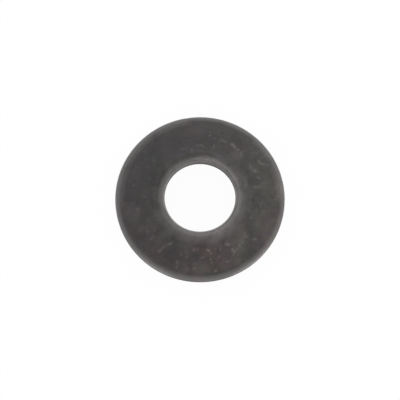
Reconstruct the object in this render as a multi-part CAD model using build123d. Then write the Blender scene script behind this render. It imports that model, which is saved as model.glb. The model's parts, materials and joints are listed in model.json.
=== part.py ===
from build123d import *
from math import atan2, cos, radians, tan
import os

# Conical spring washer for a 1/4 in bolt, one piece of hardened spring steel.
# The strip is coned in the press, and the hole and the rim are then sheared along the bolt's
# axis from the crown side. So each sheared wall has a smooth cylindrical land where the tool
# went in and a slightly tapered break where the metal tore away. Tumbling rounds every edge.
# Millimetres. +Z is the bolt's axis and the crown faces up. The origin is on the axis, in the
# plane that the washer's rim rests on.

# Ring
rim_diameter = 15.88
bore_diameter = 6.62
strip_thickness = 1.6        # square to the cone faces
cone_height = 0.66           # rise of a cone face from the rim's wall to the bore's wall

# Bore: the land is above and the break below
bore_crown_rounding = 0.77   # the lip under the bolt's head
bore_seat_rounding = 0.46
bore_break_height = 0.53
bore_break_taper = 0.04      # the bore's radius grows by this much down its break

# Rim: the land is below and the break above
rim_seat_rounding = 0.65     # the edge that the washer rests on
rim_crown_rounding = 0.65
rim_break_height = 0.7
rim_break_taper = 0.04       # the rim's radius shrinks by this much up its break

rim_radius = rim_diameter / 2
bore_radius = bore_diameter / 2
cone_angle = atan2(cone_height, rim_radius - bore_radius)
wall_height = strip_thickness / cos(cone_angle)


def on_cone(radius, height_at_rim):
    """The point at this radius on a cone face, from the face's height at the rim's wall."""
    return Vector(radius, height_at_rim + (rim_radius - radius) * tan(cone_angle))


def below(point, drop, radius):
    """The point at this radius that lies this far below another."""
    return Vector(radius, point.Y - drop)


def fitting_radius(radius, corner, wall_end, face_end, share=0.95):
    """The wanted radius of a corner, or what its sheared wall and its cone face leave for it."""
    wall = wall_end - corner
    face = face_end - corner
    reach = min(share * wall.length, share * face.length / 2)
    return min(radius, reach * tan(radians(wall.get_angle(face)) / 2))


def washer_section():
    """Half of the ring's section, as a flat sketch of radius and height, resting at height 0."""
    # The section as sheared, with its lower rim corner at height 0
    rim_seat = on_cone(rim_radius, 0)
    rim_crown = on_cone(rim_radius - rim_break_taper, wall_height)
    rim_land_end = below(rim_crown, rim_break_height, rim_radius)
    bore_crown = on_cone(bore_radius, wall_height)
    bore_seat = on_cone(bore_radius + bore_break_taper, 0)
    bore_land_end = below(bore_seat, -bore_break_height, bore_radius)
    outline = Polyline(
        rim_seat, rim_land_end, rim_crown, bore_crown, bore_land_end, bore_seat, close=True
    )
    section = make_face(outline.edges())

    # Tumbling rounds the four corners and leaves the lands
    corners = (
        (rim_seat, rim_seat_rounding, rim_land_end, bore_seat),
        (rim_crown, rim_crown_rounding, rim_land_end, bore_crown),
        (bore_crown, bore_crown_rounding, bore_land_end, rim_crown),
        (bore_seat, bore_seat_rounding, bore_land_end, rim_seat),
    )
    for corner, wanted, wall_end, face_end in corners:
        radius = fitting_radius(wanted, corner, wall_end, face_end)
        section = fillet(section.vertices().sort_by_distance(corner)[0], radius)

    # The rim rests on the lowest point of its rounding, which is above the sheared corner
    resting = fitting_radius(rim_seat_rounding, rim_seat, rim_land_end, bore_seat)
    lowest = resting * (1 / cos(cone_angle) + tan(cone_angle) - 1)
    return Pos(0, -lowest) * section


def conical_washer():
    """The section turned round the bolt's axis."""
    return revolve(Plane.XZ * washer_section(), axis=Axis.Z)


os.makedirs("parts", exist_ok=True)
export_step(conical_washer(), "parts/conical_washer.step")
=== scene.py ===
import json
import math
import bpy
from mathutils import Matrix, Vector, kdtree, noise


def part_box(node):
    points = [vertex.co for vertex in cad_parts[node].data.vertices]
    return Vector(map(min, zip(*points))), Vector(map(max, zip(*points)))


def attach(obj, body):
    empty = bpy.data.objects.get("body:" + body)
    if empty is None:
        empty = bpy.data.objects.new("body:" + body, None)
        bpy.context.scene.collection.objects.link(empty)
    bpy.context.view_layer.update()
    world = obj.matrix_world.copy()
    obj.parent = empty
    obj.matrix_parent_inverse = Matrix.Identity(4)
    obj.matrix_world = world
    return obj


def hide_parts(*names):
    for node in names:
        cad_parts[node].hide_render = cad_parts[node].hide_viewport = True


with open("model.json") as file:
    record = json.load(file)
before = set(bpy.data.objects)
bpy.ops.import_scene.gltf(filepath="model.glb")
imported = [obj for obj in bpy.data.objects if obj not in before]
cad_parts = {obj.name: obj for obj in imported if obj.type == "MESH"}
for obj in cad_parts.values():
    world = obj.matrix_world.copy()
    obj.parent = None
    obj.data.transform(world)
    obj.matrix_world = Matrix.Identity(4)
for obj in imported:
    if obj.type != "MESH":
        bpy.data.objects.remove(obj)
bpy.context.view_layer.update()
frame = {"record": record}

mounts = {mount["name"]: mount for mount in frame["record"]["mounts"]}
millimetres = 1000.0     # in a metre


# A node's output, with arithmetic that adds one Math node a step
class Wire:
    def __init__(self, tree, socket):
        self.tree = tree
        self.socket = socket

    def __add__(self, other):
        return mathNode(self.tree, "ADD", self, other)

    def __sub__(self, other):
        return mathNode(self.tree, "SUBTRACT", self, other)

    def __rsub__(self, other):
        return mathNode(self.tree, "SUBTRACT", other, self)

    def __mul__(self, other):
        return mathNode(self.tree, "MULTIPLY", self, other)

    def __truediv__(self, other):
        return mathNode(self.tree, "DIVIDE", self, other)

    __radd__ = __add__
    __rmul__ = __mul__


def plug(tree, value, socket):
    if isinstance(value, Wire):
        tree.links.new(value.socket, socket)
    elif value is not None:
        socket.default_value = value


# Makes a node and plugs its inputs by their names or numbers
def addNode(tree, kind, inputs=None, **choices):
    node = tree.nodes.new(kind)
    for name, choice in choices.items():
        setattr(node, name, choice)
    for name, value in (inputs or {}).items():
        plug(tree, value, node.inputs[name])
    return node


def output(node, name=0):
    return Wire(node.id_data, node.outputs[name])


def mathNode(tree, operation, *values):
    node = addNode(tree, "ShaderNodeMath", dict(enumerate(values)), operation=operation)
    return output(node)


def vectorNode(tree, operation, *values, scale=None, result="Vector"):
    node = addNode(tree, "ShaderNodeVectorMath", dict(enumerate(values)), operation=operation)
    plug(tree, scale, node.inputs[3])
    return output(node, result)


def splitVector(tree, vector):
    node = addNode(tree, "ShaderNodeSeparateXYZ", {"Vector": vector})
    return [output(node, number) for number in range(3)]


def joinVector(tree, x=0.0, y=0.0, z=0.0):
    return output(addNode(tree, "ShaderNodeCombineXYZ", {"X": x, "Y": y, "Z": z}))


# Goes from 0 to 1 as value passes from start to end, with eased ends
def easedStep(tree, value, start, end):
    node = addNode(tree, "ShaderNodeMapRange",
                   {"Value": value, "From Min": start, "From Max": end},
                   interpolation_type="SMOOTHSTEP")
    return output(node)


# A cloud pattern between 0 and 1, with its mean at a half
def cloud(tree, place, scale, detail, roughness, seed, distortion=0.0):
    node = addNode(tree, "ShaderNodeTexNoise", {
        "Vector": place, "W": seed, "Scale": scale, "Detail": detail,
        "Roughness": roughness, "Distortion": distortion}, noise_dimensions="4D")
    return output(node)


ringSizes = {  # metres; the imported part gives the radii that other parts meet
    "Rim Radius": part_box("conical_washer")[1].x,
    "Rim Ring Radius": mounts["rim_ring"]["pos_m"][0],      # where the washer stands
    "Crown Ring Radius": mounts["crown_ring"]["pos_m"][0],  # where a bolt's head touches first
    "Bore Radius": mounts["bore"]["dims"]["r_mm"] / millimetres,
    "Strip Thickness": 0.0016,
    "Cone Rise": 0.00066,
    "Bore Seat Rounding": 0.00046,
    "Bore Break Height": 0.00053,
    "Bore Break Taper": 0.00004,
    "Rim Crown Rounding": 0.00065,
    "Rim Break Height": 0.0007,
    "Rim Break Taper": 0.00004,
    "Steps Around": 620,
    "Steps Along": 150,
    "Arc Steps": 24,
    # Rolling leaves waves, and a long turn in the tumbling drum leaves dents
    "Wave Height": 0.000006,
    "Waves Per Metre": 420.0,
    "Wave Detail": 2.0,
    "Wave Roughness": 0.5,
    "Wave Seed": 4.0,
    "Dent Spacing": 0.0009,
    "Dents Per Area": 1100000.0,
    "Least Dent Radius": 0.00012,
    "Most Dent Radius": 0.00034,
    "Dent Steepness": 0.035,
    "Wear Seed": 11,
}


# Declares one named input for each setting and gives them back as wires
def treeInputs(tree, settings):
    kinds = {float: "NodeSocketFloat", int: "NodeSocketInt"}
    group = tree.nodes.new("NodeGroupInput")
    for name, value in settings.items():
        kind = kinds.get(type(value), "NodeSocketMaterial")
        tree.interface.new_socket(name, in_out="INPUT", socket_type=kind)
    return {name: output(group, name) for name in settings}


# The ring's section as a closed curve, with x outwards from the rim radius and y downwards
def ringSection(tree, size):
    rim = size["Rim Radius"]
    bore = size["Bore Radius"]
    slope = size["Cone Rise"] / (rim - bore)
    stretch = mathNode(tree, "SQRT", slope * slope + 1.0)
    wall = size["Strip Thickness"] * stretch
    seatRounding = rim - size["Rim Ring Radius"]
    crownRounding = size["Crown Ring Radius"] - bore
    # The rim stands on the lowest point of its rounding, above the corner as it was sheared
    seat = seatRounding * (1.0 - stretch - slope)

    def onCone(radius, heightAtRim):
        return heightAtRim + (rim - radius) * slope

    rimTop = rim - size["Rim Break Taper"]
    rimTopHeight = onCone(rimTop, seat + wall)
    boreLow = bore + size["Bore Break Taper"]
    boreLowHeight = onCone(boreLow, seat)
    corners = [  # radius, height, rounding
        (rim, seat, seatRounding),
        (rim, rimTopHeight - size["Rim Break Height"], 0.0),
        (rimTop, rimTopHeight, size["Rim Crown Rounding"]),
        (bore, onCone(bore, seat + wall), crownRounding),
        (bore, boreLowHeight + size["Bore Break Height"], 0.0),
        (boreLow, boreLowHeight, size["Bore Seat Rounding"]),
    ]
    index = output(addNode(tree, "GeometryNodeInputIndex"))
    places = addNode(tree, "GeometryNodeIndexSwitch", {"Index": index}, data_type="VECTOR")
    roundings = addNode(tree, "GeometryNodeIndexSwitch", {"Index": index}, data_type="FLOAT")
    for switch in (places, roundings):
        while len(switch.index_switch_items) < len(corners):
            switch.index_switch_items.new()
    for number, (radius, height, rounding) in enumerate(corners, start=1):
        plug(tree, joinVector(tree, radius - rim, 0.0 - height), places.inputs[number])
        plug(tree, rounding, roundings.inputs[number])
    outline = addNode(tree, "GeometryNodeCurvePrimitiveCircle", {"Resolution": len(corners)})
    placed = addNode(tree, "GeometryNodeSetPosition",
                     {"Geometry": output(outline), "Position": output(places)})
    rounded = addNode(tree, "GeometryNodeFilletCurve", {
        "Curve": output(placed), "Radius": output(roundings), "Count": size["Arc Steps"]},
        mode="POLY")
    return output(addNode(tree, "GeometryNodeResampleCurve",
                          {"Curve": output(rounded), "Count": size["Steps Along"]}, mode="COUNT"))


def storeNumber(tree, geometry, name, value):
    node = addNode(tree, "GeometryNodeStoreNamedAttribute", {
        "Geometry": geometry, "Name": name, "Value": value}, data_type="FLOAT", domain="POINT")
    return output(node)


def sampleSpot(tree, spots, kind, value, index):
    node = addNode(tree, "GeometryNodeSampleIndex", {"Geometry": spots, "Index": index},
                   data_type=kind, domain="POINT")
    plug(tree, value, node.inputs["Value"])
    return output(node)


# Shallow dents and waves, and two attributes that the finish follows: facing, from 1 on the
# crown to -1 on the seat face, and dent, which is 1 in the middle of a dent
def wornSurface(tree, ring, size):
    normal = output(addNode(tree, "GeometryNodeInputNormal"))
    place = output(addNode(tree, "GeometryNodeInputPosition"))
    marked = storeNumber(tree, ring, "facing", splitVector(tree, normal)[2])
    spots = addNode(tree, "GeometryNodeDistributePointsOnFaces", {
        "Mesh": marked, "Distance Min": size["Dent Spacing"],
        "Density Max": size["Dents Per Area"], "Seed": size["Wear Seed"]},
        distribute_method="POISSON")
    nearest = output(addNode(tree, "GeometryNodeSampleNearest",
                             {"Geometry": output(spots), "Sample Position": place}))
    reach = addNode(tree, "FunctionNodeRandomValue", {
        2: size["Least Dent Radius"], 3: size["Most Dent Radius"], "Seed": size["Wear Seed"]},
        data_type="FLOAT")
    spotPlace = sampleSpot(tree, output(spots), "FLOAT_VECTOR", place, nearest)
    spotReach = sampleSpot(tree, output(spots), "FLOAT", output(reach, 1), nearest)
    away = vectorNode(tree, "DISTANCE", place, spotPlace, result="Value")
    dent = 1.0 - easedStep(tree, away / spotReach, 0.0, 1.0)
    dented = storeNumber(tree, marked, "dent", dent)
    waves = cloud(tree, place, size["Waves Per Metre"], size["Wave Detail"],
                  size["Wave Roughness"], size["Wave Seed"])
    wave = (waves - 0.5) * 2.0
    lift = wave * size["Wave Height"] - dent * spotReach * size["Dent Steepness"]
    moved = addNode(tree, "GeometryNodeSetPosition", {
        "Geometry": dented, "Offset": vectorNode(tree, "SCALE", normal, scale=lift)})
    return output(moved)


def ringTree(settings):
    tree = bpy.data.node_groups.new("coned ring", "GeometryNodeTree")
    tree.interface.new_socket("Geometry", in_out="OUTPUT", socket_type="NodeSocketGeometry")
    size = treeInputs(tree, settings)
    around = addNode(tree, "GeometryNodeCurvePrimitiveCircle",
                     {"Resolution": size["Steps Around"], "Radius": size["Rim Radius"]})
    ring = addNode(tree, "GeometryNodeCurveToMesh",
                   {"Curve": output(around), "Profile Curve": ringSection(tree, size)})
    outward = addNode(tree, "GeometryNodeFlipFaces", {"Mesh": output(ring)})
    worn = wornSurface(tree, output(outward), size)
    smooth = addNode(tree, "GeometryNodeSetShadeSmooth", {"Geometry": worn})
    realized = addNode(tree, "GeometryNodeRealizeInstances", {"Geometry": output(smooth)})
    finished = addNode(tree, "GeometryNodeSetMaterial",
                       {"Geometry": output(realized), "Material": size["Finish"]})
    addNode(tree, "NodeGroupOutput", {"Geometry": output(finished)})
    return tree


# Runs a tree with its settings and keeps only the plain mesh that it makes
def growPiece(name, tree, settings):
    piece = bpy.data.objects.new(name, bpy.data.meshes.new(name))
    bpy.context.scene.collection.objects.link(piece)
    grower = piece.modifiers.new("grow", "NODES")
    grower.node_group = tree
    for item in tree.interface.items_tree:
        if item.in_out == "INPUT":
            grower[item.identifier] = settings[item.name]
    graph = bpy.context.evaluated_depsgraph_get()
    grown = bpy.data.meshes.new_from_object(
        piece.evaluated_get(graph), preserve_all_data_layers=True, depsgraph=graph)
    piece.modifiers.remove(grower)
    piece.data = grown
    return piece


finish = {  # lengths in millimetres and headings in degrees
    # Linear colours
    "brown": (0.0500, 0.0332, 0.0318, 1.0),
    "olive": (0.0414, 0.0374, 0.0305, 1.0),
    "violet": (0.0420, 0.0318, 0.0386, 1.0),
    # rubbed pale for scuffs and marks, and the colour of the painted highlights and glints on the rim
    # and the bore's lip
    "rubbedAndHighlight": (0.270, 0.240, 0.232, 1.0),
    # painted highlight on the bore's lip and the rim, and the pale of rubbed dents
    "highlightAndBurnish": (0.155, 0.144, 0.140, 1.0),
    # dark of pits and gouges, and the painted shade on the walls and in the dark rubs
    "pittedAndShade": (0.012, 0.011, 0.012, 1.0),
    # Clouds: repeats for each millimetre, detail, roughness, seed and distortion
    "clouds": (0.55, 3.0, 0.55, 47.2, 0.5),
    "flecks": (2.4, 2.0, 0.6, 8.0, 0.8),
    "grain": (7.0, 2.0, 0.6, 9.0, 0.0),
    "stains": (0.28, 3.0, 0.6, 52.7, 0.5),
    "bruises": (0.55, 3.0, 0.6, 103.3, 0.5),
    "shearing": (1.0, 4.0, 0.8, 1.0, 0.0),
    # Small random marks: spots for each millimetre, marked share, length, width and seed
    "strokes": (0.8, 0.60, 0.60, 0.16, 1.3),
    "dashes": (0.8, 0.80, 0.55, 0.17, 5.9),
    # Round ones: spots for each millimetre, marked share, size and seed
    "specks": (1.6, 0.15, 0.17, 7.7),
    "pits": (1.5, 0.30, 0.20, 3.1),
    # Where a cloud starts to be a patch, and where it is one
    "patchRange": (0.30, 0.70),
    "stainRange": (0.44, 0.58),
    "bruiseRange": (0.46, 0.60),
    "brokenRange": (0.25, 0.60),
    "crowdingRange": (0.35, 0.62),
    # Where a zone starts and where it is full, by how far the surface faces up
    "wallRange": (0.35, 0.05),
    "roundingRange": (0.97, 0.60),
    "edgeRange": (0.85, 0.50),
    "crownRange": (0.0, 0.3),
    "lipRange": (-0.1, 0.3),
    "boreRange": (0.5, -0.5),    # lengths by which the bore is farther than the rim
    "palerRange": (-8.0, 8.0),     # lengths towards the paler side
    # Where a mark starts to fade and where it is gone, or the other way round for random ones
    "markEnds": (0.2, 0.5),
    "markSides": (0.2, 1.0),
    "strokeEnds": (0.5, 0.1),
    "strokeSides": (1.0, 0.1),
    "roundSides": (1.0, 0.1),
    # Shares of the tone
    "cloudShare": 0.85,
    "fleckShare": 0.10,
    "grainShare": 0.55,
    "palerShare": 0.37,
    "stainByPaler": 0.12,
    "stainBySmears": 0.05,
    "bruiseByPaler": 0.08,
    "bruiseBySmears": 0.06,
    "crowdingByFlecks": 0.4,
    "crowdingByClouds": 0.6,
    # Shares of the rubbed, highlight and dark tones. The lip, rim, rounding and edge shares paint
    # highlights, the wall share paints shade on the walls' shaded side, and the scuff and gouge shares
    # carry real marks and the painted highlights and shade of the rubs
    "lipHighlightShare": 0.70,
    "lipPlain": 0.85,
    "lipSmears": 0.30,
    "rimHighlightShare": 0.20,
    "roundingHighlightShare": 0.20,
    "edgeGlintShare": 0.80,
    "dentShare": 0.14,
    "scuffAndHighlightShare": 0.60,
    "gougeAndShadeShare": 0.75,
    "strokeShare": 0.08,
    "brokenShare": 0.6,
    "wallShadeShare": 1.45,
    # Where the coat is paler, on which side the rim and the bore's edge carry their painted highlights,
    # and how far the lip's and the rim's painted highlights reach
    "palerHeading": -30.0,
    "rimHeading": 135.0,
    "boreHeading": 200.0,
    "palerDrift": 8.0,
    "lipReach": 1.50,
    "lipDrift": 1.20,
    "rimReach": 0.95,
    "cloudDrift": 0.8,
    # Random strokes and round marks, as shares of the most
    "leastSize": 0.3,
    "leastStrength": 0.2,
    "leastLength": 0.25,
    "leastStroke": 0.25,
    "bowFrom": 0.2,              # the random number that leaves a stroke straight
    "bow": 3.0,
    "shuffle": 7.0,              # makes a fourth random number from the third
    # Torn edges of the marks
    "tearWidth": 0.10,
    "tearsPerMm": 3.5,
    "tearSeed": 2,
    "leastFacing": -0.05,        # marks reach down to the walls and leave the seat face plain
    # Gloss
    "roughness": 0.42,
    "roughnessDrift": 0.20,
    "rubbedSmoother": 0.06,
    "wallRougher": 0.30,
    "refraction": 2.0,
    # Relief, as shares of the bump
    "grainRelief": 0.5,
    "shearedRelief": 1.8,
    "rubbedRelief": 0.3,
    "pitRelief": 0.6,
    "shearLinesAround": 60.0,
    "shearLinesUp": 0.5,
    "bumpStrength": 0.7,
    "bumpMetres": 0.000025,
}

# Marks on the crown in millimetres and degrees: x, y, heading, length, width, bow, strength.
# Scuffs are rubbed pale, and the wide ones are faint
scuffsAndHighlights = (
    (3.15, 4.88, -50, 0.95, 0.20, 0.15, 0.95), (3.60, 4.45, 40, 0.40, 0.17, 0.0, 0.80),
    (2.15, 5.32, -8, 1.20, 0.22, 0.10, 0.45), (1.35, 5.55, 0, 0.45, 0.14, 0.0, 0.60),
    (1.30, 4.75, 80, 0.40, 0.18, 0.0, 0.60), (0.90, 5.90, 10, 0.40, 0.15, 0.0, 0.80),
    (0.95, 6.20, 0, 0.35, 0.13, 0.0, 0.50), (0.20, 4.85, 0, 0.50, 0.15, 0.0, 0.60),
    (3.85, 3.95, 85, 1.15, 0.22, 0.30, 0.45), (3.25, 3.85, -30, 1.50, 0.80, 0.0, 0.30),
    (5.60, 3.30, -50, 0.75, 0.22, 0.30, 0.60), (6.15, 3.05, -15, 0.90, 0.20, 0.30, 0.60),
    (4.72, 2.75, -80, 0.95, 0.22, 0.20, 0.45), (5.15, 2.35, 0, 0.70, 0.17, 0.30, 0.55),
    (5.45, 1.75, -20, 0.60, 0.18, 0.30, 0.55), (4.25, 1.35, 85, 1.40, 0.38, 0.20, 0.38),
    (5.35, 0.82, 15, 0.90, 0.30, -0.30, 0.38), (5.90, 1.20, -10, 0.90, 0.22, 0.0, 0.25),
    (5.35, 4.35, 60, 0.95, 0.38, 0.0, 0.25), (7.20, 1.45, 80, 0.50, 0.22, 0.0, 0.35),
    (7.00, -0.35, 60, 0.28, 0.15, 0.0, 0.60), (5.20, -1.40, 88, 0.70, 0.16, 0.0, 0.45),
    (4.70, -2.15, 0, 0.48, 0.18, 0.0, 0.60), (5.60, -1.00, 85, 0.70, 0.16, 0.0, 0.25),
    (4.12, -3.70, 88, 0.55, 0.15, 0.0, 0.55), (4.22, -3.92, 5, 0.35, 0.15, 0.0, 0.70),
    (5.00, -4.10, 5, 0.50, 0.15, 0.0, 0.45), (3.75, -4.40, 84, 0.50, 0.13, 0.0, 0.50),
    (3.95, -4.42, 95, 0.50, 0.13, 0.0, 0.50), (3.63, -4.72, 0, 0.38, 0.15, 0.0, 0.60),
    (2.55, -4.60, -10, 0.68, 0.20, 0.40, 0.90), (2.48, -4.34, 80, 0.45, 0.15, 0.0, 0.50),
    (3.08, -5.20, -62, 0.80, 0.22, 0.30, 0.90), (3.36, -5.08, 48, 0.60, 0.17, 0.0, 0.60),
    (3.10, -5.62, 0, 0.38, 0.14, 0.0, 0.50), (3.75, -3.60, -60, 2.60, 1.10, 0.0, 0.30),
    (2.50, -6.22, 10, 0.65, 0.18, 0.20, 0.40), (1.75, -5.82, 60, 0.35, 0.16, 0.0, 0.50),
    (1.45, -7.05, 10, 0.45, 0.20, 0.0, 0.60), (0.75, -5.18, 0, 0.50, 0.17, 0.20, 0.80),
    (1.00, -5.42, -60, 0.35, 0.14, 0.0, 0.45), (1.42, -5.15, 86, 0.55, 0.13, 0.0, 0.32),
    (1.90, -5.15, 92, 0.55, 0.13, 0.0, 0.35), (0.92, -6.02, -75, 0.32, 0.14, 0.0, 0.70),
    (1.05, -6.35, -80, 0.35, 0.13, 0.0, 0.50), (0.18, -5.87, 0, 0.50, 0.13, 0.0, 0.45),
    (-0.55, -5.15, 0, 0.42, 0.20, 0.0, 0.50), (-0.24, -5.15, 80, 0.36, 0.15, 0.0, 0.32),
    (-1.20, -5.85, -70, 0.35, 0.17, 0.0, 0.42), (-1.78, -5.55, 88, 0.45, 0.14, 0.0, 0.32),
    (-2.10, -6.25, -80, 0.45, 0.15, 0.0, 0.42), (-2.10, -6.68, 80, 0.42, 0.15, 0.0, 0.40),
    (-0.50, -6.48, 0, 0.45, 0.13, 0.0, 0.40), (-0.50, -6.85, 0, 0.50, 0.15, 0.0, 0.45),
    (-1.20, -6.95, 40, 0.75, 0.30, 0.30, 0.28), (-2.80, -4.58, 25, 0.65, 0.17, 0.20, 0.70),
    (-3.35, -4.88, 35, 0.60, 0.15, 0.0, 0.55), (-3.72, -5.22, 45, 0.55, 0.15, 0.0, 0.55),
    (-4.50, -4.12, -10, 0.48, 0.13, 0.0, 0.45), (-4.30, -3.90, 0, 0.40, 0.13, 0.0, 0.40),
    (-4.85, -3.35, -50, 0.38, 0.16, 0.0, 0.35), (-5.78, -1.25, 10, 0.48, 0.20, 0.0, 0.50),
    (-7.05, -0.78, 55, 0.65, 0.18, 0.0, 0.55), (-6.15, -0.75, -35, 0.60, 0.20, 0.50, 0.32),
    (-4.30, -2.02, 0, 0.50, 0.16, 0.0, 0.40), (-3.10, -3.60, 30, 0.90, 0.45, 0.0, 0.20),
    (-5.25, -0.10, -15, 0.75, 0.18, -0.50, 0.55), (-6.20, 1.02, 0, 0.28, 0.18, 0.0, 1.0),
    (-6.55, 1.40, 0, 0.45, 0.26, 0.0, 0.25), (-4.70, 1.60, -10, 0.45, 0.17, 0.0, 0.45),
    (-3.80, 2.58, 0, 0.36, 0.12, 0.0, 0.45), (-3.85, 2.33, 0, 0.32, 0.12, 0.0, 0.42),
    (-4.30, 3.35, 0, 0.50, 0.20, 0.0, 0.40), (-4.25, 3.76, -5, 0.40, 0.14, 0.0, 0.38),
    (-4.80, 2.80, -10, 0.40, 0.14, 0.0, 0.38), (-4.95, 3.56, 45, 0.32, 0.16, 0.0, 0.30),
    (-5.95, 2.75, 0, 0.40, 0.14, 0.0, 0.30), (-1.60, 5.35, 0, 0.55, 0.20, 0.0, 0.35),
    (-1.70, 4.50, 0, 0.45, 0.24, 0.0, 0.60), (-1.28, 4.55, 0, 0.55, 0.17, 0.0, 0.35),
    (-0.78, 4.35, 88, 0.60, 0.14, 0.0, 0.60), (-0.15, 4.85, -10, 0.38, 0.18, 0.0, 0.45),
    (-2.75, 5.10, 0, 0.45, 0.15, 0.0, 0.35), (-5.15, 4.35, 45, 0.55, 0.26, 0.0, 0.25),
    (-7.10, 0.60, 80, 0.90, 0.32, 0.0, 0.25), (-4.10, -2.40, -60, 2.60, 1.00, 0.10, 0.10),
    (2.80, -5.10, 30, 3.60, 2.20, 0.0, 0.09), (5.30, -2.20, 115, 5.20, 2.40, 0.0, 0.11),
    (5.80, 0.80, 95, 2.60, 1.60, 0.0, 0.08), (6.25, 3.20, 45, 1.60, 0.65, 0.0, 0.15),
    (5.10, 2.00, 0, 1.40, 0.60, 0.0, 0.12), (1.30, 5.80, 90, 2.00, 0.80, 0.0, 0.08),
    (3.00, 5.10, 0, 1.80, 0.60, 0.0, 0.08), (-3.85, -2.85, 20, 2.20, 0.70, 0.0, 0.18),
    (2.65, -4.20, -65, 2.40, 0.50, 0.0, 0.18), (-4.10, 5.40, 60, 1.80, 0.65, 0.0, 0.10),
    (-3.85, 1.25, 80, 1.80, 0.50, 0.0, 0.09), (-6.75, -0.30, 90, 3.20, 0.55, 0.0, 0.07),
    (-5.60, -4.60, -45, 1.80, 0.55, 0.0, 0.09),
    (6.95, -1.10, 85, 1.60, 0.50, 0.0, 0.16), (5.20, -0.80, 85, 2.00, 0.45, 0.0, 0.14),
    (3.20, -6.20, -10, 1.80, 0.60, 0.0, 0.14),
)

# Gouges hold the dark of the coat, and so do the wide dark patches
gougesAndShade = (
    (2.10, 6.15, 0, 0.40, 0.20, 0.0, 0.80), (1.10, 5.15, 88, 0.50, 0.15, 0.0, 0.60),
    (3.82, 4.45, 60, 0.30, 0.17, 0.0, 0.70), (3.50, 5.35, 40, 0.55, 0.26, 0.0, 0.50),
    (2.10, 5.08, -20, 1.00, 0.26, 0.0, 0.30), (2.55, 4.10, 0, 0.35, 0.16, 0.0, 0.60),
    (1.85, 4.10, 0, 0.30, 0.16, 0.0, 0.50), (1.50, 4.75, 88, 0.42, 0.14, 0.0, 0.50),
    (4.28, 3.50, 85, 2.20, 0.48, 0.10, 0.50), (4.50, 1.90, 88, 2.00, 0.42, 0.10, 0.50),
    (4.90, -0.45, 70, 0.55, 0.26, 0.0, 0.50), (6.15, -1.60, 0, 0.45, 0.14, 0.0, 0.50),
    (6.15, -1.87, 0, 0.45, 0.14, 0.0, 0.50), (5.10, -2.35, 0, 0.35, 0.16, 0.0, 0.60),
    (4.85, -2.60, 0, 0.32, 0.16, 0.0, 0.40), (4.65, -4.00, 85, 1.90, 0.30, 0.10, 0.55),
    (4.28, -4.15, 0, 0.32, 0.18, 0.0, 0.80), (5.55, -3.95, 30, 0.65, 0.35, 0.0, 0.40),
    (5.60, -4.60, 80, 0.60, 0.26, 0.0, 0.30), (3.38, -4.68, 0, 0.26, 0.16, 0.0, 0.50),
    (4.40, -5.50, 10, 1.50, 0.50, 0.0, 0.28), (1.65, -5.20, 88, 0.60, 0.20, 0.0, 0.50),
    (1.65, -5.44, 0, 0.60, 0.14, 0.0, 0.50), (0.80, -5.90, 0, 0.30, 0.14, 0.0, 0.80),
    (0.78, -6.15, 0, 0.30, 0.14, 0.0, 0.80), (0.85, -6.40, 0, 0.30, 0.14, 0.0, 0.80),
    (1.55, -6.42, 0, 0.32, 0.15, 0.0, 0.70), (2.35, -6.42, 0, 0.36, 0.15, 0.0, 0.70),
    (1.80, -6.15, 0, 0.30, 0.13, 0.0, 0.50), (1.15, -7.00, 0, 0.30, 0.16, 0.0, 0.60),
    (1.80, -7.15, 0, 0.30, 0.15, 0.0, 0.60), (1.40, -6.85, 20, 0.30, 0.13, 0.0, 0.50),
    (-2.55, -3.98, 0, 0.52, 0.13, 0.0, 0.70), (-2.50, -4.16, 0, 0.50, 0.13, 0.0, 0.70),
    (-3.15, -4.30, 20, 0.95, 0.40, 0.0, 0.40), (-3.62, -4.82, 60, 0.36, 0.20, 0.0, 0.90),
    (-3.00, -5.50, 10, 1.30, 0.40, 0.0, 0.38), (-4.55, -5.28, 0, 0.50, 0.15, 0.0, 0.80),
    (-5.10, -3.50, 88, 0.65, 0.15, 0.0, 0.80), (-4.35, -3.50, 40, 0.50, 0.30, 0.0, 0.35),
    (-4.50, -4.60, 70, 1.00, 0.36, 0.0, 0.40), (-5.90, -0.90, 0, 0.50, 0.20, 0.0, 0.60),
    (-7.00, -0.48, 0, 0.26, 0.18, 0.0, 0.80), (-5.00, -1.75, 80, 0.90, 0.36, 0.0, 0.40),
    (-2.20, 4.70, 60, 0.36, 0.20, 0.0, 0.70), (-3.20, 4.40, 88, 0.52, 0.26, 0.0, 0.60),
    (-2.75, 4.40, 80, 0.50, 0.16, 0.0, 0.30), (-4.30, 3.58, 0, 0.80, 0.26, 0.0, 0.35),
    (-5.20, 3.00, 10, 1.00, 0.26, 0.0, 0.40), (-3.80, 2.45, 0, 0.40, 0.13, 0.0, 0.50),
    (-1.10, 3.95, 0, 0.42, 0.20, 0.0, 0.50), (-4.80, 1.25, -30, 0.80, 0.30, 0.0, 0.28),
    (-5.40, 1.30, 88, 0.50, 0.30, 0.0, 0.25), (-4.60, 2.60, 60, 3.60, 1.40, -0.08, 0.36),
    (-3.70, 4.30, 40, 3.80, 1.70, 0.06, 0.40), (-1.15, 5.35, 30, 2.80, 0.95, 0.0, 0.72),
    (-2.30, 4.35, 20, 2.60, 0.60, 0.0, 0.62), (-5.20, 2.00, 85, 4.40, 0.70, 0.0, 0.58),
    (4.30, 0.00, 75, 3.20, 0.50, 0.0, 0.28), (6.20, -2.10, 40, 2.00, 0.60, 0.0, 0.40),
    (6.30, 0.70, 85, 2.00, 0.55, 0.0, 0.24), (3.95, 2.80, 95, 3.00, 0.65, 0.0, 0.40),
    (1.35, 3.95, 0, 1.40, 0.45, 0.0, 0.34),
)


# A mark that runs round the ring at one azimuth and radius
def rub(azimuth, radius, length, width, strength):
    turn = math.radians(azimuth)
    return (radius * math.cos(turn), radius * math.sin(turn), azimuth - 90, length, width,
            0.5 / radius, strength)  # bowed as the ring is
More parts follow.
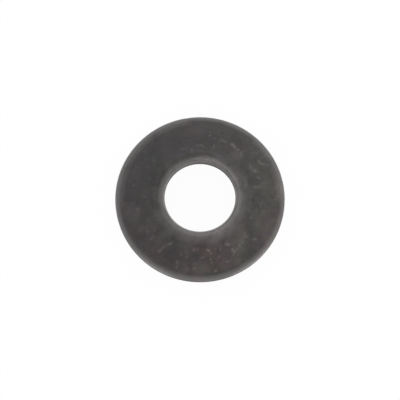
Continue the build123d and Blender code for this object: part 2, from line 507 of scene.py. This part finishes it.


# Painted highlights on the rim and the bore's lip, stronger in some stretches than in others, with two
# thin painted glints on the rim's edge
scuffsAndHighlights += (
    rub(142, 7.38, 6.0, 0.46, 0.80), rub(112, 7.38, 5.0, 0.44, 0.95), rub(172, 7.36, 5.0, 0.46, 0.70),
    rub(12, 7.42, 6.0, 0.50, 0.45), rub(38, 7.45, 4.0, 0.45, 0.45), rub(62, 7.55, 4.0, 0.36, 0.36),
    rub(88, 7.58, 4.0, 0.34, 0.30), rub(237, 7.91, 5.4, 0.17, 1.00), rub(308, 7.91, 6.0, 0.16, 0.75),
    rub(300, 4.20, 3.4, 0.90, 0.45), rub(270, 4.05, 3.0, 0.80, 0.26), rub(240, 4.35, 3.0, 0.90, 0.30),
    rub(212, 4.20, 3.0, 0.70, 0.35), rub(180, 4.05, 2.5, 0.50, 0.30), rub(118, 3.40, 3.4, 0.26, 1.00),
    rub(85, 3.49, 2.6, 0.28, 0.92), rub(60, 3.53, 2.4, 0.30, 0.82), rub(34, 3.56, 2.2, 0.28, 0.60),
    rub(76, 3.72, 3.0, 0.28, 0.40), rub(2, 3.40, 2.6, 0.18, 0.60),
)
# Painted shade that darkens the rim and the lip's highlight band in some stretches
gougesAndShade += (
    rub(285, 7.55, 6.0, 0.42, 0.75), rub(40, 4.50, 5.0, 0.70, 0.55), rub(118, 4.75, 4.2, 1.00, 0.36),
    rub(182, 5.10, 2.6, 1.00, 0.36), rub(122, 7.90, 6.0, 0.12, 0.60), rub(150, 5.90, 3.0, 1.60, 0.12),
)


# 1 up to start, then eased down to 0 at end
def easedFall(value, start, end):
    step = min(max((value - start) / (end - start), 0.0), 1.0)
    return 1.0 - step * step * (3.0 - 2.0 * step)


# 1 in the middle of a mark and 0 off it; the mark runs along its heading and bows to one side
def markShare(away, heading, length, width, bow):
    turn = math.radians(heading)
    along = away.x * math.cos(turn) + away.y * math.sin(turn)
    across = away.y * math.cos(turn) - away.x * math.sin(turn) + along * along * bow
    ends = easedFall(abs(along) / length, *finish["markEnds"])
    return ends * easedFall(abs(across) / width, *finish["markSides"])


# Stores how strongly the marks show at each point of the crown and the walls, with torn edges
def paintMarks(piece, name, marks):
    points = piece.data.vertices
    facing = piece.data.attributes["facing"].data
    reached = kdtree.KDTree(len(points))
    noise.seed_set(finish["tearSeed"])
    for point, level in zip(points, facing):
        if level.value > finish["leastFacing"]:
            flat = Vector((point.co.x, point.co.y, 0.0)) * millimetres
            tear = noise.noise_vector(flat * finish["tearsPerMm"])
            tear *= finish["tearWidth"] * level.value ** 2  # marks on the steep edges, such as the painted glints, keep even edges
            reached.insert(flat + Vector((tear.x, tear.y, 0.0)), point.index)
    reached.balance()
    shares = [0.0] * len(points)
    for x, y, heading, length, width, bow, strength in marks:
        middle = Vector((x, y, 0.0))
        for place, index, distance in reached.find_range(middle, length + width):
            share = strength * markShare(place - middle, heading, length, width, bow)
            shares[index] = max(shares[index], share)
    attribute = piece.data.attributes.new(name, "FLOAT", "POINT")
    attribute.data.foreach_set("value", shares)


def mixColour(tree, share, first, second):
    node = addNode(tree, "ShaderNodeMix", {0: share, 6: first, 7: second}, data_type="RGBA")
    return output(node, 2)


def attributeWire(tree, name):
    return output(addNode(tree, "ShaderNodeAttribute", attribute_name=name), "Fac")


def largest(tree, *wires):
    most = wires[0]
    for wire in wires[1:]:
        most = mathNode(tree, "MAXIMUM", most, wire)
    return most


# The way from the nearest of the random spots, and three random numbers of its own
def nearestSpot(tree, place, perMillimetre, seed):
    shifted = vectorNode(tree, "ADD", place, (seed, seed * 0.7, seed * 0.4))
    node = addNode(tree, "ShaderNodeTexVoronoi", {"Vector": shifted, "Scale": perMillimetre})
    away = vectorNode(tree, "SUBTRACT", shifted, output(node, "Position"))
    return away, splitVector(tree, output(node, "Color"))


# A random share between least and 1
def atLeast(least, luck):
    return luck * (1.0 - least) + least


# Round marks of random size and strength, on the share of the spots that chance picks
def roundMarks(tree, place, perMillimetre, chance, reach, seed):
    away, luck = nearestSpot(tree, place, perMillimetre, seed)
    picked = mathNode(tree, "LESS_THAN", luck[0], chance)
    distance = vectorNode(tree, "LENGTH", away, result="Value")
    least = finish["leastSize"]
    size = luck[1] * (reach * (1.0 - least)) + reach * least
    faded = easedStep(tree, distance / size, *finish["roundSides"])
    return picked * faded * atLeast(finish["leastStrength"], luck[2])


# Short strokes with random headings, lengths and strengths; most is the share of the spots
# that have one where the crowding is 1
def randomStrokes(tree, place, crowding, perMillimetre, most, length, width, seed):
    chance = crowding * most
    away, luck = nearestSpot(tree, place, perMillimetre, seed)
    picked = mathNode(tree, "LESS_THAN", luck[0], chance)
    heading = luck[1] * math.tau
    cosine = mathNode(tree, "COSINE", heading)
    sine = mathNode(tree, "SINE", heading)
    x, y = splitVector(tree, away)[:2]
    along = x * cosine + y * sine
    bow = (luck[0] - finish["bowFrom"]) * finish["bow"]
    bowed = mathNode(tree, "MULTIPLY_ADD", along * along, bow, y * cosine - x * sine)
    reach = luck[2] * length + length * finish["leastLength"]
    ends = easedStep(tree, mathNode(tree, "ABSOLUTE", along) / reach, *finish["strokeEnds"])
    sides = easedStep(tree, mathNode(tree, "ABSOLUTE", bowed) / width, *finish["strokeSides"])
    fresh = mathNode(tree, "FRACT", luck[2] * finish["shuffle"])
    return picked * ends * sides * atLeast(finish["leastStroke"], fresh)


# The level direction of a heading in degrees
def towards(heading):
    turn = math.radians(heading)
    return (math.cos(turn), math.sin(turn), 0.0)


def dotProduct(tree, first, second):
    return vectorNode(tree, "DOT_PRODUCT", first, second, result="Value")


# 1 on the side of the ring that the heading points to, eased to 0 on the other side
def sideShare(tree, flat, heading):
    return dotProduct(tree, vectorNode(tree, "NORMALIZE", flat), towards(heading)) * 0.5 + 0.5


def coatMaterial():
    material = bpy.data.materials.new("oiled phosphate")
    material.use_nodes = True
    tree = material.node_tree
    shader = tree.nodes["Principled BSDF"]
    place = vectorNode(tree, "SCALE", output(addNode(tree, "ShaderNodeTexCoord"), "Object"),
                       scale=millimetres)
    facing = attributeWire(tree, "facing")
    level = mathNode(tree, "ABSOLUTE", facing)  # 1 on both faces, 0 on both walls
    wall = easedStep(tree, level, *finish["wallRange"])
    rounding = easedStep(tree, level, *finish["roundingRange"]) * (1.0 - wall)
    edge = easedStep(tree, level, *finish["edgeRange"]) * easedStep(tree, facing, *finish["crownRange"])
    flat = vectorNode(tree, "MULTIPLY", place, (1.0, 1.0, 0.0))
    radius = vectorNode(tree, "LENGTH", flat, result="Value")
    fromBore = radius - ringSizes["Bore Radius"] * millimetres
    fromRim = ringSizes["Rim Radius"] * millimetres - radius
    atBore = easedStep(tree, fromBore - fromRim, *finish["boreRange"])

    # Tone: stains of three colours, clouds, smears and grain, and paler towards one side
    clouds = cloud(tree, place, *finish["clouds"])
    flecks = cloud(tree, place, *finish["flecks"])
    grain = cloud(tree, place, *finish["grain"])
    patches = easedStep(tree, clouds, *finish["patchRange"])
    smears = easedStep(tree, flecks, *finish["patchRange"])
    towardsPaler = dotProduct(tree, place, towards(finish["palerHeading"]))
    paler = easedStep(tree, towardsPaler + (clouds - 0.5) * finish["palerDrift"],
                    *finish["palerRange"])
    stains = (cloud(tree, place, *finish["stains"])
              + (paler - 0.5) * finish["stainByPaler"]
              + (smears - 0.5) * finish["stainBySmears"])
    bruises = (cloud(tree, place, *finish["bruises"])
               - (paler - 0.5) * finish["bruiseByPaler"]
               + (smears - 0.5) * finish["bruiseBySmears"])
    tone = mixColour(tree, easedStep(tree, bruises, *finish["bruiseRange"]),
                     finish["brown"], finish["violet"])
    tone = mixColour(tree, easedStep(tree, stains, *finish["stainRange"]),
                     tone, finish["olive"])
    shade = (1.0 + (patches - 0.5) * finish["cloudShare"]
             + (smears - 0.5) * finish["fleckShare"]
             + (grain - 0.5) * finish["grainShare"])
    coat = vectorNode(tree, "SCALE", tone, scale=shade)

    # Small random marks with torn edges
    tears = output(addNode(tree, "ShaderNodeTexNoise", {
        "Vector": place, "Scale": finish["tearsPerMm"]}), "Color")
    torn = vectorNode(tree, "MULTIPLY_ADD", tears, (finish["tearWidth"] * 2.0,) * 3,
                      (-finish["tearWidth"],) * 3)
    torn = vectorNode(tree, "ADD", place, torn)
    crowding = easedStep(tree, flecks * finish["crowdingByFlecks"]
                         + clouds * finish["crowdingByClouds"], *finish["crowdingRange"])
    strokes = randomStrokes(tree, torn, crowding, *finish["strokes"])
    dashes = randomStrokes(tree, torn, 1.0 - crowding, *finish["dashes"])
    specks = roundMarks(tree, torn, *finish["specks"])
    pits = roundMarks(tree, torn, *finish["pits"])

    # Painted highlights: the bore's lip, the rim and the edges are painted paler, more on one side, and
    # dents are rubbed paler. Each wall is painted in shade on one side
    rimSide = sideShare(tree, flat, finish["rimHeading"])
    boreSide = sideShare(tree, flat, finish["boreHeading"])
    # worn is the side share of the painted light and shade: on the bore it is 1 towards boreHeading,
    # where the edge keeps its painted highlight and the wall is not shaded; on the rim it is 1 away
    # from rimHeading, and the rim's wall is painted in shade towards that heading
    worn = boreSide * atBore + (1.0 - rimSide) * (1.0 - atBore)
    cloudDrift = (clouds - 0.5) * finish["cloudDrift"]
    reach = (paler - 0.5) * finish["lipDrift"] + cloudDrift
    lipHighlight = easedStep(tree, fromBore - reach, finish["lipReach"], 0.0)
    lipHighlight = lipHighlight * easedStep(tree, facing, *finish["lipRange"])
    lipHighlight = lipHighlight * (smears * finish["lipSmears"] + finish["lipPlain"]) * finish["lipHighlightShare"]
    lipHighlight = lipHighlight * (1.0 - edge * (1.0 - worn))
    # painted highlight on the rim's band and rounding, on the side towards rimHeading
    rim = easedStep(tree, fromRim + cloudDrift, finish["rimReach"], 0.0)
    rim = largest(tree, rim * (1.0 - rounding) * finish["rimHighlightShare"],
                  rounding * finish["roundingHighlightShare"]) * rimSide
    # painted highlights of the lip and rim, and paler rubbed dents
    highlightAndBurnish = largest(tree, lipHighlight, rim, attributeWire(tree, "dent") * finish["dentShare"])
    broken = easedStep(tree, grain, *finish["brokenRange"])
    # pale random marks and scuffs, the painted highlights and glints of the rubs, and a painted glint
    # on the bore's edge towards boreHeading
    marks = largest(tree, strokes * finish["strokeShare"], specks * finish["strokeShare"],
                    attributeWire(tree, "scuffedAndHighlit") * finish["scuffAndHighlightShare"],
                    edge * boreSide * atBore * finish["edgeGlintShare"])
    marks = marks * (broken * finish["brokenShare"] + (1.0 - finish["brokenShare"]))
    # dark random marks and gouges, the painted shade of the dark rubs, and painted shade on each wall's
    # shaded side
    darkAndShade = largest(tree, pits * finish["strokeShare"], dashes * finish["strokeShare"],
                   attributeWire(tree, "gougedAndShaded") * finish["gougeAndShadeShare"],
                   wall * (1.0 - worn) * (1.0 - worn) * finish["wallShadeShare"])
    coat = mixColour(tree, highlightAndBurnish, coat, finish["highlightAndBurnish"])
    coat = mixColour(tree, marks, coat, finish["rubbedAndHighlight"])
    coat = mixColour(tree, darkAndShade, coat, finish["pittedAndShade"])
    drift = 1.0 + (paler - 0.5) * (2.0 * finish["palerShare"])
    plug(tree, vectorNode(tree, "SCALE", coat, scale=drift), shader.inputs["Base Color"])

    roughness = (finish["roughness"] + (clouds - 0.5) * finish["roughnessDrift"]
                 + (flecks - 0.5) * finish["roughnessDrift"]
                 - marks * finish["rubbedSmoother"] + wall * finish["wallRougher"])
    plug(tree, roughness, shader.inputs["Roughness"])
    shader.inputs["IOR"].default_value = finish["refraction"]

    # Shearing leaves fine upright lines on both walls
    direction = vectorNode(tree, "NORMALIZE", flat)
    around = vectorNode(tree, "SCALE", direction, scale=finish["shearLinesAround"])
    upwards = vectorNode(tree, "MULTIPLY", place, (0.0, 0.0, finish["shearLinesUp"]))
    lines = vectorNode(tree, "ADD", around, upwards)
    sheared = (cloud(tree, lines, *finish["shearing"]) - 0.5) * wall * patches
    height = (grain * finish["grainRelief"] + flecks + clouds + sheared * finish["shearedRelief"]
              - marks * finish["rubbedRelief"] - pits * finish["pitRelief"])
    bump = addNode(tree, "ShaderNodeBump", {
        "Height": height, "Strength": finish["bumpStrength"], "Distance": finish["bumpMetres"]})
    plug(tree, output(bump), shader.inputs["Normal"])
    return material


ringSettings = {**ringSizes, "Finish": coatMaterial()}
ring = growPiece("coned_ring", ringTree(ringSettings), ringSettings)
paintMarks(ring, "scuffedAndHighlit", scuffsAndHighlights)
paintMarks(ring, "gougedAndShaded", gougesAndShade)
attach(ring, "root")
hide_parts("conical_washer")
print("coned ring:", len(ring.data.polygons), "faces")


studio = {  # metres, and levels where 1 lights a white card to white
    "floorWidth": 1.2,
    "floorShade": 0.9,
    "whiteShare": 0.92,
    "whiteLevel": 1.04,
    "zenithLevel": 0.248,
    "horizonLevel": 0.976,
    "dimRange": (0.4, 0.98),    # as shares of straight up
}

viewpoint = {  # degrees, metres and millimetres of lens
    "elevation": 75.5,
    "distance": 0.1133,
    "aimY": 0.00006,
    "lens": 108.0,
    "sensorWidth": 36.0,
    "clipStart": 0.001,
}


# 1 where the camera or a mirror sees the surface itself, 0 where it only passes light on
def seenDirectly(tree):
    path = addNode(tree, "ShaderNodeLightPath")
    seen = mathNode(tree, "MAXIMUM", output(path, "Is Camera Ray"), output(path, "Is Glossy Ray"))
    return mathNode(tree, "MAXIMUM", seen, output(path, "Is Transmission Ray"))


def whiteFloor(height):
    mesh = bpy.data.meshes.new("floor")
    half = studio["floorWidth"] / 2
    corners = [(x, y, height) for x, y in ((-half, -half), (half, -half), (half, half), (-half, half))]
    mesh.from_pydata(corners, [], [(0, 1, 2, 3)])
    material = bpy.data.materials.new("white card")
    material.use_nodes = True
    tree = material.node_tree
    tree.nodes.clear()
    shade = (studio["floorShade"],) * 3 + (1.0,)
    matt = addNode(tree, "ShaderNodeBsdfDiffuse", {"Color": shade})
    glow = addNode(tree, "ShaderNodeEmission", {"Strength": studio["whiteLevel"]})
    mixed = addNode(tree, "ShaderNodeMixShader", {
        0: seenDirectly(tree) * studio["whiteShare"], 1: output(matt), 2: output(glow)})
    addNode(tree, "ShaderNodeOutputMaterial", {"Surface": output(mixed)})
    mesh.materials.append(material)
    floor = bpy.data.objects.new("floor", mesh)
    bpy.context.scene.collection.objects.link(floor)


# A dome that is dim overhead and bright all round, in front of a white backdrop
def studioDome():
    world = bpy.data.worlds.new("studio dome")
    bpy.context.scene.world = world
    world.use_nodes = True
    tree = world.node_tree
    tree.nodes.clear()
    direction = output(addNode(tree, "ShaderNodeTexCoord"), "Generated")
    upward = splitVector(tree, direction)[2]
    low = 1.0 - easedStep(tree, upward, *studio["dimRange"])
    rise = studio["horizonLevel"] - studio["zenithLevel"]
    path = addNode(tree, "ShaderNodeLightPath")
    level = studio["zenithLevel"] + low * rise
    seen = output(path, "Is Camera Ray")
    strength = mathNode(tree, "MAXIMUM", level, seen)
    glow = addNode(tree, "ShaderNodeBackground",
                   {"Color": (1.0, 1.0, 1.0, 1.0), "Strength": strength})
    addNode(tree, "ShaderNodeOutputWorld", {"Surface": output(glow)})


def camera():
    lens = bpy.data.cameras.new("camera")
    lens.lens = viewpoint["lens"]
    lens.sensor_width = viewpoint["sensorWidth"]
    lens.clip_start = viewpoint["clipStart"]
    viewer = bpy.data.objects.new("camera", lens)
    rise = math.radians(viewpoint["elevation"])
    viewer.location = (0.0, viewpoint["aimY"] - viewpoint["distance"] * math.cos(rise),
                       viewpoint["distance"] * math.sin(rise))
    viewer.rotation_euler = (math.pi / 2 - rise, 0.0, 0.0)
    bpy.context.scene.collection.objects.link(viewer)
    bpy.context.scene.camera = viewer


whiteFloor(min(point.co.z for point in ring.data.vertices))
studioDome()
camera()
bpy.context.scene.view_settings.view_transform = "Standard"
print("studio: floor, dome and camera")
